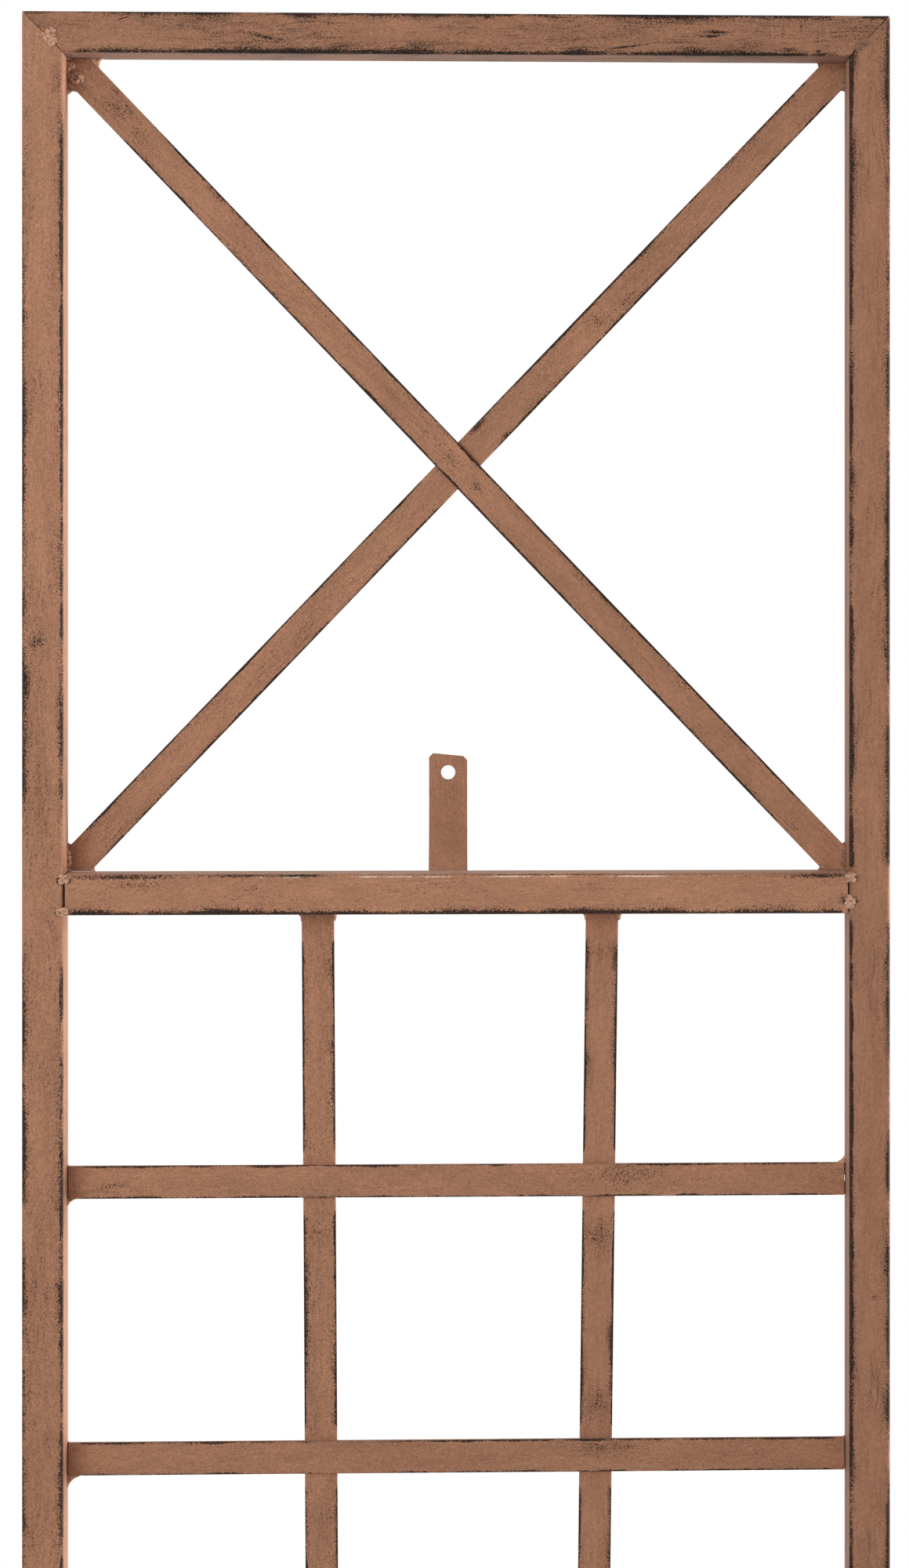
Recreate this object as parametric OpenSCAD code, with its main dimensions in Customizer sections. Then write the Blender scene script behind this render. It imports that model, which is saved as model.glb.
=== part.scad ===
// Espalier frame: a welded steel support for climbers and trained fruit trees.
// A mitred square tube frame holds a crossed panel over a lattice of flat bar, and one bent
// strap hangs it on a wall. Millimetres, +Z up, +X to the right, -Y to the viewer and +Y to the
// wall. The origin is where the axis of the strap's screw meets the wall. The modules draw from
// the middle of the bottom rail's underside, and from_wall() moves what they draw.

/* [Frame] */
// Overall width across the two stiles
frame_w = 530; // [420:5:700]
// Clear height of the crossed panel, between the top and middle rails
panel_h = 500; // [350:5:700]
// Number of lattice rows under the middle rail
rows = 6; // [3:1:9]
// Clear height of the first row, under the middle rail
first_row_h = 156; // [100:1:220]
// Clear height of each further row
row_h = 150; // [100:1:220]

/* [Square tube] */
// Outside size of the square tube
tube = 25; // [20:1:40]
// Wall thickness of the tube
tube_wall = 1.5; // [1:0.1:3]
// Outside corner radius of the tube
tube_corner_r = 2; // [1:0.1:3]

/* [Flat bar] */
// Width of the flat bar in the lattice and the crossed panel
bar_w = 20; // [12:1:30]
// Thickness of the flat bar
bar_t = 3; // [2:0.5:5]
// Rolled radius on the long edges of the flat bar
bar_edge_r = 0.4; // [0.2:0.1:0.8]

/* [Hand fitting] */
// Width of the slit left open in a mitre
mitre_gap = 0.4; // [0.1:0.1:1]
// Slit between each end of the middle rail and the stile
rail_gap = 1.2; // [0.2:0.1:2]
// Slit between each end of a rung and the stile
rung_gap = 0.8; // [0.2:0.1:1.5]
// Gap where the end of a brace or an upright bar meets a tube
fit_gap = 0.2; // [0.1:0.1:0.5]
// How far the top of the left grid bar leans outwards
left_bar_out = 3; // [0:0.5:8]
// How far the top of the right grid bar leans outwards
right_bar_out = 6; // [0:0.5:8]

/* [Wall tab] */
// Width of the strap
tab_w = 24; // [16:1:40]
// Thickness of the strap
tab_t = 3; // [2:0.5:5]
// Length of the foot welded to the back of the middle rail
tab_foot = 18; // [12:1:20]
// Gap that the strap keeps between the frame and the wall side of its head
tab_standoff = 33; // [20:1:60]
// Height of the strap's top above the middle rail
tab_rise = 71; // [60:1:90]
// Slope of the strap between its bends, from upright
tab_slope = 45; // [30:5:60]
// Inside radius of the two bends
tab_bend_r = 6; // [3:1:10]
// Place of the strap along the rail, from the middle
tab_x = -6; // [-20:1:20]
// Diameter of the screw hole
tab_hole_d = 9; // [5:0.5:12]
// Distance from the hole's centre to the top of the strap
tab_hole_drop = 12; // [9:0.5:20]
// Cut across the top corners of the strap
tab_corner = 2.5; // [1:0.5:5]
// How much lower the sheared top edge is at its right end
tab_slant = 1.8; // [0:0.1:3]

/* [Welds] */
// Radius of a round tack on a tube face
tack_r = 3.1; // [2.5:0.1:5]
// Height of a tack above the tube face
tack_h = 1.2; // [0.6:0.1:2]
// Height of the lower tack above the middle rail's underside, at its left end
left_low_tack = 2; // [0:0.5:8]
// Height of the lower tack above the middle rail's underside, at its right end
right_low_tack = 6; // [0:0.5:8]
// Length of the tack across a mitre on the front
mitre_tack = 9.5; // [8:0.5:14]
// How far the front tack lies from the tube's middle towards the inside corner
mitre_tack_in = 5; // [0:0.5:7]
// Length of the bead across a mitre on the back
mitre_bead = 20; // [12:1:26]
// Leg of the fillet where a bar edge meets a tube
fillet_leg = 5; // [3:0.5:8]
// Leg of the wider fillet under the left end of every second rung
wide_fillet_leg = 8; // [5:0.5:10]
// Leg of the fillets in the sharp corners beside the front brace's upper end
brace_fillet_leg = 8; // [6:0.5:12]
// Leg of the fillets beside the other three brace ends
small_brace_fillet_leg = 3; // [2:0.5:6]
// Radius of the bead laid in a corner behind a bar
bead_r = 2.2; // [1.5:0.1:3]
// Length of the bead laid in a corner
bead_len = 11; // [8:1:16]
// Length of the see-through slot left in the right end of every second rung
slot_len = 4; // [2:0.5:6]

/* [Hidden] */
$fn = 48;
paint = [0.66, 0.47, 0.38];
weld_paint = [0.72, 0.53, 0.44];

clear_w = frame_w - 2 * tube;
uprights = 2;
rungs = rows - 1;
grid_h = first_row_h + rungs * (bar_w + row_h);
middle_z = tube + grid_h;
panel_z = middle_z + tube;
frame_h = panel_z + panel_h + tube;
grid_mid_z = tube + grid_h / 2;
panel_mid_z = panel_z + panel_h / 2;

// Depth of the layers: the rear bars lie flush with the back of the tube
front_y = -tube / 2;
back_y = tube / 2;
rear_layer_y = back_y - bar_t;
front_layer_y = rear_layer_y - bar_t;

// Even columns, and the lean of the two upright bars about the middle of the lattice
column_w = (clear_w - uprights * bar_w) / (uprights + 1);
bar_x = (column_w + bar_w) / 2;
lean_left = -atan(2 * left_bar_out / grid_h);
lean_right = atan(2 * right_bar_out / grid_h);

// Corner to corner slope of the braces, and the points where a brace's edges reach the tubes
brace_a = atan(panel_h / clear_w);
brace_len = norm([clear_w, panel_h]) + 2 * bar_w;
brace_reach_x = bar_w / 2 / sin(brace_a);
brace_reach_z = bar_w / 2 / cos(brace_a);

// Wall tab: what a bend takes up along its middle line, and the heights of its stretches
bend_mid_r = tab_bend_r + tab_t / 2;
bend_back = bend_mid_r * (1 - cos(tab_slope));
bend_up = bend_mid_r * sin(tab_slope);
slope_len = (tab_standoff - tab_t - 2 * bend_back) / sin(tab_slope);
tab_z = panel_z - tab_foot;
head_z = panel_z + slope_len * cos(tab_slope) + bend_up;
tab_top_z = panel_z + tab_rise;
tab_hole_z = tab_top_z - tab_hole_drop;
// Steps that a bend's arc is drawn with
bend_steps = 12;
// Where the screw's axis meets the wall
wall_point = [tab_x, back_y + tab_standoff, tab_hole_z];

// A mitre face steps back from the exact corner by half of the slit
mitre_a = 45;
mitre_step = mitre_gap * cos(mitre_a);
// Least corner radius inside the tube
tube_inner_r = 0.3;
// The two beads behind the right end of a rung with a slot, above and below it
slot_bead_high = (bar_w - slot_len) / 2;
slot_bead_low = bar_w - slot_len - slot_bead_high;
// How much further out than a tangent arc a fillet's hollow is struck
fillet_hollow = 1.2;
// Share of a bead's radius between its ripples
ripple = 0.8;
// Larger than any cut needs to be
beyond = 4 * tube;

// Points of an arc about a centre, between two angles
function arc(centre, r, from, to) =
    [for (i = [0 : bend_steps]) let (a = from + (to - from) * i / bend_steps) centre + r * [cos(a), sin(a)]];
// Height of a rung's middle, counted down from the middle rail
function rung_z(i) = middle_z - first_row_h - bar_w / 2 - (i - 1) * (row_h + bar_w);
// Every second rung, counted from the first, has a slot at its right end
function slotted(i) = i % 2 == 1;
// Fillet at the end of a brace: wide at the upper end of the front one only
function brace_leg(y, level) = y == front_layer_y && level > 0 ? brace_fillet_leg : small_brace_fillet_leg;
function lean(side) = side < 0 ? lean_left : lean_right;
// Middle of an upright bar at a height
function bar_mid_x(side, z) = side * bar_x + tan(lean(side)) * (z - grid_mid_z);

rung_names = [for (i = [1 : rungs]) str("rung_", i)];
rung_weld_names = [for (i = [1 : rungs]) str("rung_", i, "_welds")];

// Shared shapes

module rounded_rect(w, h, r) {
    square([w - 2 * r, h], center = true);
    square([w, h - 2 * r], center = true);
    for (x = [-1, 1], y = [-1, 1])
        translate([x * (w / 2 - r), y * (h / 2 - r)])
            circle(r = r);
}

module tube_section() {
    inner = tube - 2 * tube_wall;
    inner_r = max(tube_corner_r - tube_wall, tube_inner_r);
    difference() {
        rounded_rect(tube, tube, tube_corner_r);
        rounded_rect(inner, inner, inner_r);
    }
}

// Raises an outline drawn in X and Z into a plate from y to y + t
module plate(y, t) {
    translate([0, y + t, 0])
        rotate([90, 0, 0])
            linear_extrude(height = t)
                children();
}

// Flat bar along X, on edge, centred
module flat_bar(length) {
    rotate([90, 0, 90])
        linear_extrude(height = length, center = true)
            rounded_rect(bar_t, bar_w, bar_edge_r);
}

// Round-backed bead along X on the plane z = 0, as overlapping drops
module bead(length, r, h) {
    sphere_r = (r * r + h * h) / (2 * h);
    run = max(0, length - 2 * r);
    drops = ceil(run / (ripple * r));
    intersection() {
        for (i = [0 : drops])
            translate([run * (i / max(1, drops) - 0.5), 0, h - sphere_r])
                sphere(r = sphere_r);
        translate([-length, -length, 0])
            cube(2 * length);
    }
}

// Bead along X that fills the corner between the planes y = 0 and z = 0
module corner_bead(length) {
    run = length - 2 * bead_r;
    drops = ceil(run / (ripple * bead_r));
    intersection() {
        for (i = [0 : drops])
            translate([run * (i / drops - 0.5), 0, 0])
                sphere(r = bead_r);
        translate([-length, 0, 0])
            cube(2 * length);
    }
}

// Hollow fillet outline between two sides that leave the corner at the angles from and to
module fillet_outline(from, to, leg) {
    half = (to - from) / 2;
    out = fillet_hollow * leg / cos(half);
    tip = [leg * cos(half), leg * sin(half)];
    rotate(from + half)
        difference() {
            polygon([[0, 0], [tip.x, -tip.y], [tip.x, tip.y]]);
            translate([out, 0])
                circle(r = norm([out - tip.x, tip.y]));
        }
}

// Places children with local Z out of the front or the back face of the tubes
module on_front(x, z, turn = 0) {
    translate([x, front_y, z])
        rotate([90, 0, 0])
            rotate(turn)
                children();
}

module on_back(x, z, turn = 0) {
    translate([x, back_y, z])
        rotate([-90, 0, 0])
            rotate(-turn)
                children();
}

// Turns a corner bead upright, to fill the corner between a face that looks along +X and one along +Y
module upright_bead(length = bead_len) {
    rotate([0, -90, -90])
        corner_bead(length);
}

// Moves what is drawn from the bottom rail to the point on the wall
module from_wall() {
    translate(-wall_point)
        children();
}

// Tube frame

module stile_outline() {
    polygon([
        [-frame_w / 2, mitre_step],
        [-clear_w / 2, tube + mitre_step],
        [-clear_w / 2, frame_h - tube - mitre_step],
        [-frame_w / 2, frame_h - mitre_step],
    ]);
}

module stile(side) {
    color(paint)
        mirror([side > 0 ? 1 : 0, 0, 0])
            intersection() {
                translate([-(frame_w - tube) / 2, 0, 0])
                    linear_extrude(height = frame_h)
                        tube_section();
                plate(-beyond, 2 * beyond)
                    stile_outline();
            }
}

module rail_tube(length) {
    rotate([90, 0, 90])
        linear_extrude(height = length, center = true)
            tube_section();
}

// Outline of a rail with its long side up
module mitred_rail_outline() {
    polygon([
        [-frame_w / 2 + mitre_step, tube / 2],
        [-clear_w / 2 + mitre_step, -tube / 2],
        [clear_w / 2 - mitre_step, -tube / 2],
        [frame_w / 2 - mitre_step, tube / 2],
    ]);
}

module mitred_rail() {
    color(paint)
        intersection() {
            rail_tube(frame_w);
            plate(-beyond, 2 * beyond)
                mitred_rail_outline();
        }
}

module top_rail() {
    translate([0, 0, frame_h - tube / 2])
        mitred_rail();
}

module bottom_rail() {
    translate([0, 0, tube / 2])
        mirror([0, 0, 1])
            mitred_rail();
}

module middle_rail() {
    color(paint)
        translate([0, 0, middle_z + tube / 2])
            rail_tube(clear_w - 2 * rail_gap);
}

// Crossed panel

// A brace from corner to corner, its ends trimmed to the panel's corners
module brace(y, turn) {
    color(paint)
        intersection() {
            translate([0, y + bar_t / 2, panel_mid_z])
                rotate([0, turn, 0])
                    flat_bar(brace_len);
            plate(-beyond, 2 * beyond)
                translate([0, panel_mid_z])
                    square([clear_w - 2 * fit_gap, panel_h - 2 * fit_gap], center = true);
        }
}

module front_brace() {
    brace(front_layer_y, brace_a);
}

module rear_brace() {
    brace(rear_layer_y, -brace_a);
}

// Lattice

module grid_bar(side) {
    color(paint)
        intersection() {
            translate([side * bar_x, rear_layer_y + bar_t / 2, grid_mid_z])
                rotate([0, 90 + lean(side), 0])
                    flat_bar(grid_h + 2 * bar_w);
            plate(-beyond, 2 * beyond)
                translate([0, grid_mid_z])
                    square([clear_w, grid_h - 2 * fit_gap], center = true);
        }
}

module rung(i) {
    color(paint)
        translate([0, front_layer_y + bar_t / 2, rung_z(i)])
            flat_bar(clear_w - 2 * rung_gap);
}

// Wall tab

// Side view of the strap in Y and Z, up its front and down its back, from the foot's lower end
module tab_profile() {
    lower_bend = [tab_t + tab_bend_r, tab_foot - bend_up];
    upper_bend = [tab_standoff - tab_t - tab_bend_r, head_z - tab_z];
    outer_r = tab_bend_r + tab_t;
    top = tab_top_z - tab_z;
    polygon(concat(
        [[0, 0]],
        arc(lower_bend, outer_r, 180, 180 - tab_slope),
        arc(upper_bend, tab_bend_r, -tab_slope, 0),
        [[tab_standoff - tab_t, top], [tab_standoff, top]],
        arc(upper_bend, outer_r, 0, -tab_slope),
        arc(lower_bend, tab_bend_r, 180 - tab_slope, 180),
        [[tab_t, 0]]
    ));
}

module tab_front_outline() {
    half = tab_w / 2;
    polygon([
        [-half, tab_z - tube],
        [half, tab_z - tube],
        [half, tab_top_z - tab_slant - tab_corner],
        [half - tab_corner, tab_top_z - tab_slant],
        [-half + tab_corner, tab_top_z],
        [-half, tab_top_z - tab_corner],
    ]);
}

module wall_tab() {
    color(paint)
        translate([tab_x, 0, 0])
            difference() {
                intersection() {
                    translate([0, back_y, tab_z])
                        rotate([90, 0, 90])
                            linear_extrude(height = tab_w, center = true)
                                tab_profile();
                    plate(0, beyond + tab_standoff)
                        tab_front_outline();
                }
                translate([0, back_y, tab_hole_z])
                    rotate([-90, 0, 0])
                        cylinder(d = tab_hole_d, h = beyond + tab_standoff);
            }
}

// Welds

// Tack on the front and a longer bead on the back, across the mitre at a corner
module corner_welds(side, level) {
    mid_x = side * (frame_w - tube) / 2;
    mid_z = level > 0 ? frame_h - tube / 2 : tube / 2;
    slant = mitre_a * side * level;
    color(weld_paint) {
        on_front(mid_x - side * mitre_tack_in, mid_z - level * mitre_tack_in, slant)
            bead(mitre_tack, tack_r, tack_h);
        on_back(mid_x, mid_z, slant)
            bead(mitre_bead, tack_r, tack_h);
    }
}

// Two tacks on the front and two on the back, over the slit at one end of the middle rail
module middle_rail_welds(side) {
    low = side < 0 ? left_low_tack : right_low_tack;
    color(weld_paint)
        for (z = [middle_z + low, panel_z - tack_r]) {
            on_front(side * clear_w / 2, z)
                bead(2 * tack_r, tack_r, tack_h);
            on_back(side * clear_w / 2, z)
                bead(2 * tack_r, tack_r, tack_h);
        }
}

// Fillets and a front bead at the end of a brace, drawn at the panel's top left corner
module brace_end_welds(y, leg) {
    corner = [-clear_w / 2, panel_h / 2];
    plate(y, bar_t) {
        translate([corner.x, corner.y - brace_reach_z])
            fillet_outline(270, 360 - brace_a, leg);
        translate([corner.x + brace_reach_x, corner.y])
            fillet_outline(360 - brace_a, 360, leg);
    }
    translate([corner.x, y, corner.y - brace_reach_z / 2])
        mirror([0, 1, 0])
            upright_bead();
}

module brace_welds(y, side, level) {
    color(weld_paint)
        translate([0, 0, panel_mid_z])
            mirror([side > 0 ? 1 : 0, 0, 0])
                mirror([0, 0, level < 0 ? 1 : 0])
                    brace_end_welds(y, brace_leg(y, level));
}

// Beads along both edges of the rear brace, behind the front one
module brace_crossing_welds() {
    color(weld_paint)
        translate([0, rear_layer_y, panel_mid_z])
            rotate([0, 90 - brace_a, 0])
                for (edge = [0, 1])
                    mirror([edge, 0, 0])
                        translate([bar_w / 2, 0, 0])
                            upright_bead();
}

// Fillets on both edges of an upright bar, at the middle rail and at the bottom rail
module grid_bar_welds(side) {
    turn = lean(side);
    half = bar_w / 2 / cos(turn);
    top_x = bar_mid_x(side, middle_z);
    foot_x = bar_mid_x(side, tube);
    color(weld_paint)
        plate(rear_layer_y, bar_t) {
            translate([top_x - half, middle_z])
                fillet_outline(180, 270 - turn, fillet_leg);
            translate([top_x + half, middle_z])
                fillet_outline(270 - turn, 360, fillet_leg);
            translate([foot_x - half, tube])
                fillet_outline(90 - turn, 180, fillet_leg);
            translate([foot_x + half, tube])
                fillet_outline(0, 90 - turn, fillet_leg);
        }
}

// Left end of a rung: a fillet under it, and a bead up its back
module rung_left_welds(i) {
    plate(front_layer_y, bar_t)
        translate([-clear_w / 2, rung_z(i) - bar_w / 2])
            fillet_outline(270, 360, slotted(i) ? fillet_leg : wide_fillet_leg);
    translate([-clear_w / 2, rear_layer_y, rung_z(i)])
        upright_bead(bar_w);
}

// Right end of a rung, drawn at the left: a bead up its back, or a fillet and a slot between two beads
module rung_right_welds(i) {
    if (slotted(i)) {
        plate(front_layer_y, bar_t)
            translate([-clear_w / 2, rung_z(i) + bar_w / 2])
                fillet_outline(0, 90, fillet_leg);
        translate([-clear_w / 2, rear_layer_y, rung_z(i) + (bar_w - slot_bead_high) / 2])
            upright_bead(slot_bead_high);
        translate([-clear_w / 2, rear_layer_y, rung_z(i) - (bar_w - slot_bead_low) / 2])
            upright_bead(slot_bead_low);
    } else {
        translate([-clear_w / 2, rear_layer_y, rung_z(i)])
            upright_bead(bar_w);
    }
}

module rung_welds(i) {
    color(weld_paint) {
        rung_left_welds(i);
        mirror([1, 0, 0])
            rung_right_welds(i);
    }
}

// Beads along both edges of the upright bars, behind each rung
module lattice_crossing_welds() {
    color(weld_paint)
        for (side = [-1, 1], i = [1 : rungs], edge = [0, 1])
            translate([side * bar_x, rear_layer_y, grid_mid_z])
                rotate([0, lean(side), 0])
                    mirror([edge, 0, 0])
                        translate([bar_w / 2, 0, (rung_z(i) - grid_mid_z) / cos(lean(side))])
                            upright_bead();
}

// Beads down both sides of the strap's foot, on the back of the middle rail
module wall_tab_welds() {
    color(weld_paint)
        for (edge = [0, 1])
            translate([tab_x, back_y, tab_z + bead_len / 2])
                mirror([edge, 0, 0])
                    translate([tab_w / 2, 0, 0])
                        upright_bead();
}

from_wall() stile(-1);  // left_stile
from_wall() stile(1);  // right_stile
from_wall() top_rail();
from_wall() middle_rail();
from_wall() bottom_rail();
from_wall() front_brace();
from_wall() rear_brace();
from_wall() grid_bar(-1);  // left_grid_bar
from_wall() grid_bar(1);  // right_grid_bar
for (i = [1 : rungs]) from_wall() rung(i);
from_wall() wall_tab();
from_wall() corner_welds(-1, 1);  // top_left_corner_welds
from_wall() corner_welds(1, 1);  // top_right_corner_welds
from_wall() corner_welds(-1, -1);  // bottom_left_corner_welds
from_wall() corner_welds(1, -1);  // bottom_right_corner_welds
from_wall() middle_rail_welds(-1);  // middle_rail_left_welds
from_wall() middle_rail_welds(1);  // middle_rail_right_welds
from_wall() brace_welds(front_layer_y, -1, 1);  // front_brace_upper_welds
from_wall() brace_welds(front_layer_y, 1, -1);  // front_brace_lower_welds
from_wall() brace_welds(rear_layer_y, 1, 1);  // rear_brace_upper_welds
from_wall() brace_welds(rear_layer_y, -1, -1);  // rear_brace_lower_welds
from_wall() brace_crossing_welds();
from_wall() grid_bar_welds(-1);  // left_grid_bar_welds
from_wall() grid_bar_welds(1);  // right_grid_bar_welds
for (i = [1 : rungs]) from_wall() rung_welds(i);
from_wall() lattice_crossing_welds();
from_wall() wall_tab_welds();
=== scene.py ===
"""Dresses the espalier frame: terracotta paint rubbed black along its edges, and rough weld beads."""

import math
from typing import NamedTuple

import bmesh
import bpy
from bpy.props import FloatProperty, FloatVectorProperty, PointerProperty
from mathutils import Matrix, Vector, noise
from mathutils.bvhtree import BVHTree


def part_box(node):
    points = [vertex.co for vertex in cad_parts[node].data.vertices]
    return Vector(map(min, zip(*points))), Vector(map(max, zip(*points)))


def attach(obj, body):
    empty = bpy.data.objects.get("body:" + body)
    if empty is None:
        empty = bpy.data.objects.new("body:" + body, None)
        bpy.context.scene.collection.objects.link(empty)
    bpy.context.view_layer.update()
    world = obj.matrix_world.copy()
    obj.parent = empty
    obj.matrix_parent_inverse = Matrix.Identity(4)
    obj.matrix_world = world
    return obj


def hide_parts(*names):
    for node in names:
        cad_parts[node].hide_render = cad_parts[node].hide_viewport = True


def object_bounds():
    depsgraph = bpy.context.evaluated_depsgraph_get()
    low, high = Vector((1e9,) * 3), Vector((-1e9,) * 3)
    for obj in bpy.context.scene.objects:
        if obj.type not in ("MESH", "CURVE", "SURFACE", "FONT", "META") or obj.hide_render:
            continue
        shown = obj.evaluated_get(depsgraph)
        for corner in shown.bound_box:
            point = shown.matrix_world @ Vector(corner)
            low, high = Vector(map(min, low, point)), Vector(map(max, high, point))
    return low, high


bl_info = {
    "name": "Espalier frame finish",
    "version": (1, 0, 0),
    "blender": (4, 5, 0),
    "location": "3D View > Sidebar > Espalier",
    "description": "Rubbed terracotta paint and rough weld beads for a welded plant frame",
    "category": "Object",
}

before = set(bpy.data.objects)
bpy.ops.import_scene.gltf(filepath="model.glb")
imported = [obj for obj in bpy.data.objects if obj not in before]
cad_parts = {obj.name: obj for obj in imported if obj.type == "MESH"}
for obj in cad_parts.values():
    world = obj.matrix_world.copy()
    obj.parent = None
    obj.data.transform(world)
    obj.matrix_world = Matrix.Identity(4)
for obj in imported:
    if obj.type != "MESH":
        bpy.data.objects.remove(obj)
cad_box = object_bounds()

# Places and sizes read from the frame


def middle(node):
    low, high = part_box(node)
    return (low + high) / 2


def span(node):
    low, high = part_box(node)
    return high - low


MM = 0.001
RUNGS = [f"rung_{i}" for i in range(1, 6)]
BARS = ["left_stile", "right_stile", "top_rail", "middle_rail", "bottom_rail", "front_brace", "rear_brace",
        "left_grid_bar", "right_grid_bar", "wall_tab"] + RUNGS
LEFT_LOW, LEFT_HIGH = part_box("left_stile")
RIGHT_LOW, RIGHT_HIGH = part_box("right_stile")
TOP_LOW, TOP_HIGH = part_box("top_rail")
MIDDLE_LOW, MIDDLE_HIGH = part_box("middle_rail")
TUBE = LEFT_HIGH.x - LEFT_LOW.x
BAR_W = span("rung_1").z
BAR_T = span("rung_1").y
CENTRE_X = (LEFT_LOW.x + RIGHT_HIGH.x) / 2
FRONT_Y = LEFT_LOW.y
PANEL_W = RIGHT_LOW.x - LEFT_HIGH.x
PANEL_H = TOP_LOW.z - MIDDLE_HIGH.z
PANEL_ENDS = (-PANEL_W / 2, PANEL_W / 2)

# Turns of the bars from level, clockwise as the front is seen
LEVEL = 0.0
UPRIGHT = math.pi / 2
BRACE_TURN = math.atan2(PANEL_H, PANEL_W)

# Rounding of the edges in millimetres, and how far the middle of a rounding of 1 lies from the sharp edge
TUBE_RADIUS = 2.0
BAR_RADIUS = 0.4
ARC_MIDDLE = 2 - math.sqrt(2)


def along_bar(node, turn, points):
    """Places of points along a bar, from its middle."""
    direction = Vector((math.cos(turn), 0.0, -math.sin(turn)))
    return tuple((point - middle(node)).dot(direction) for point in points)


def grid_lean(node):
    """Lean of an upright bar, from its box: outwards at the top."""
    size = span(node)
    side = math.copysign(1, middle(node).x - CENTRE_X)
    return side * math.atan((size.x - BAR_W) / size.z)


def tack_places(stile):
    """Millimetres down from a stile's middle to where the middle rail's upper and lower edges meet it."""
    return [(middle(stile).z - edge.z) / MM for edge in (MIDDLE_HIGH, MIDDLE_LOW)]


# What the paint and the beads are made of


class Smudge(NamedTuple):
    """A patch of rub on a bar's front: its place from the bar's middle and its size, in millimetres."""

    along: float
    across: float
    length: float
    width: float
    strength: float
    slant: float = 0.0


class Bar(NamedTuple):
    """A straight piece: how it lies, and how its paint is worn.

    Line is the black over its edges and fringe the grain that reaches in from it, each as a pair: for the
    lower or left edge, and for the other one. Within bare millimetres of a joint there is no rub, and over
    the next grow millimetres it comes back. Pale is the stretch where the undercoat may show.
    """

    node: str
    turn: float
    wide: float
    deep: float
    radius: float
    line: tuple = (0.0, 0.0)
    fringe: tuple = (0.0, 0.0)
    streaks: float = 0.0
    tone: float = 1.0
    joints: tuple = ()
    bare: float = 0.0
    grow: float = 0.0
    smudges: tuple = ()
    pale: tuple = ()


class Drop(NamedTuple):
    """A drop of weld metal: its middle, its radii in millimetres, and how deep a crater its front has."""

    at: Vector
    radii: tuple
    crater: float = 0.0


class Pattern(NamedTuple):
    """A noise: the size of its features along, through and across a bar, and how its values spread."""

    size: tuple
    shift: float = 0.0
    detail: float = 2.0
    roughness: float = 0.5
    spread: tuple = (0.25, 0.75)
    to: tuple = (0.0, 1.0)


def tube(node, turn, **wear):
    return Bar(node, turn, TUBE, TUBE, TUBE_RADIUS, **wear)


def flat_bar(node, turn, **wear):
    return Bar(node, turn, BAR_W, BAR_T, BAR_RADIUS, **wear)


# User settings


class PaintSettings(bpy.types.PropertyGroup):
    """Colours and wear of the paint."""

    paint: FloatVectorProperty(
        name="Paint", description="Terracotta paint", subtype="COLOR", size=3,
        default=(0.368, 0.179, 0.106))
    rub: FloatVectorProperty(
        name="Rub", description="Black rubbed along the edges", subtype="COLOR", size=3,
        default=(0.006, 0.005, 0.005))
    pale: FloatVectorProperty(
        name="Pale", description="Pale undercoat that shows at a scuffed edge", subtype="COLOR", size=3,
        default=(0.62, 0.48, 0.35))
    weld: FloatVectorProperty(
        name="Weld", description="Paint on the weld beads", subtype="COLOR", size=3,
        default=(0.45, 0.25, 0.165))
    stain: FloatVectorProperty(
        name="Stain", description="Brown that the streaks leave in the paint", subtype="COLOR", size=3,
        default=(0.045, 0.03, 0.025))
    roughness: FloatProperty(
        name="Roughness", description="Roughness of the paint", subtype="FACTOR", min=0, max=1, default=0.62)
    rub_roughness: FloatProperty(
        name="Rub roughness", description="Roughness of the black rub", subtype="FACTOR", min=0, max=1,
        default=0.55)
    sheen: FloatProperty(
        name="Sheen", description="Pale bloom of the paint seen along its face", subtype="FACTOR", min=0,
        max=1, default=0.07)


class WeldSettings(bpy.types.PropertyGroup):
    """How rough the weld beads are."""

    grain: FloatProperty(
        name="Grain", description="Size of the cells that a bead is made of", unit="LENGTH", min=0.1 * MM,
        max=2 * MM, default=0.35 * MM)
    lump: FloatProperty(
        name="Lump", description="Height of the lumps on a bead", unit="LENGTH", min=0, max=2 * MM,
        default=0.9 * MM)
    swell: FloatProperty(
        name="Swell", description="How far a bead swells over its seat", unit="LENGTH", min=0, max=2 * MM,
        default=0.35 * MM)


class StageSettings(bpy.types.PropertyGroup):
    """Camera and lamps."""

    lens: FloatProperty(
        name="Lens", description="Focal length on a 36 mm sensor", min=20, max=200, default=65.2)
    key: FloatProperty(
        name="Key", description="Power of the lamp at the upper left", subtype="POWER", min=0, default=6.9)
    side: FloatProperty(
        name="Side", description="Power of the lamp at the right", subtype="POWER", min=0, default=430)
    fill: FloatProperty(
        name="Fill", description="Power of the lamp at the left", subtype="POWER", min=0, default=20)
    ambient: FloatProperty(
        name="Ambient", description="Light from all round", subtype="FACTOR", min=0, max=2, default=0.5)


# Shader graphs

VALUE, VECTOR, COLOUR = "NodeSocketFloat", "NodeSocketVector", "NodeSocketColor"
# Place of the colour among the outputs of a mix node
MIXED_COLOUR = 2


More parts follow.
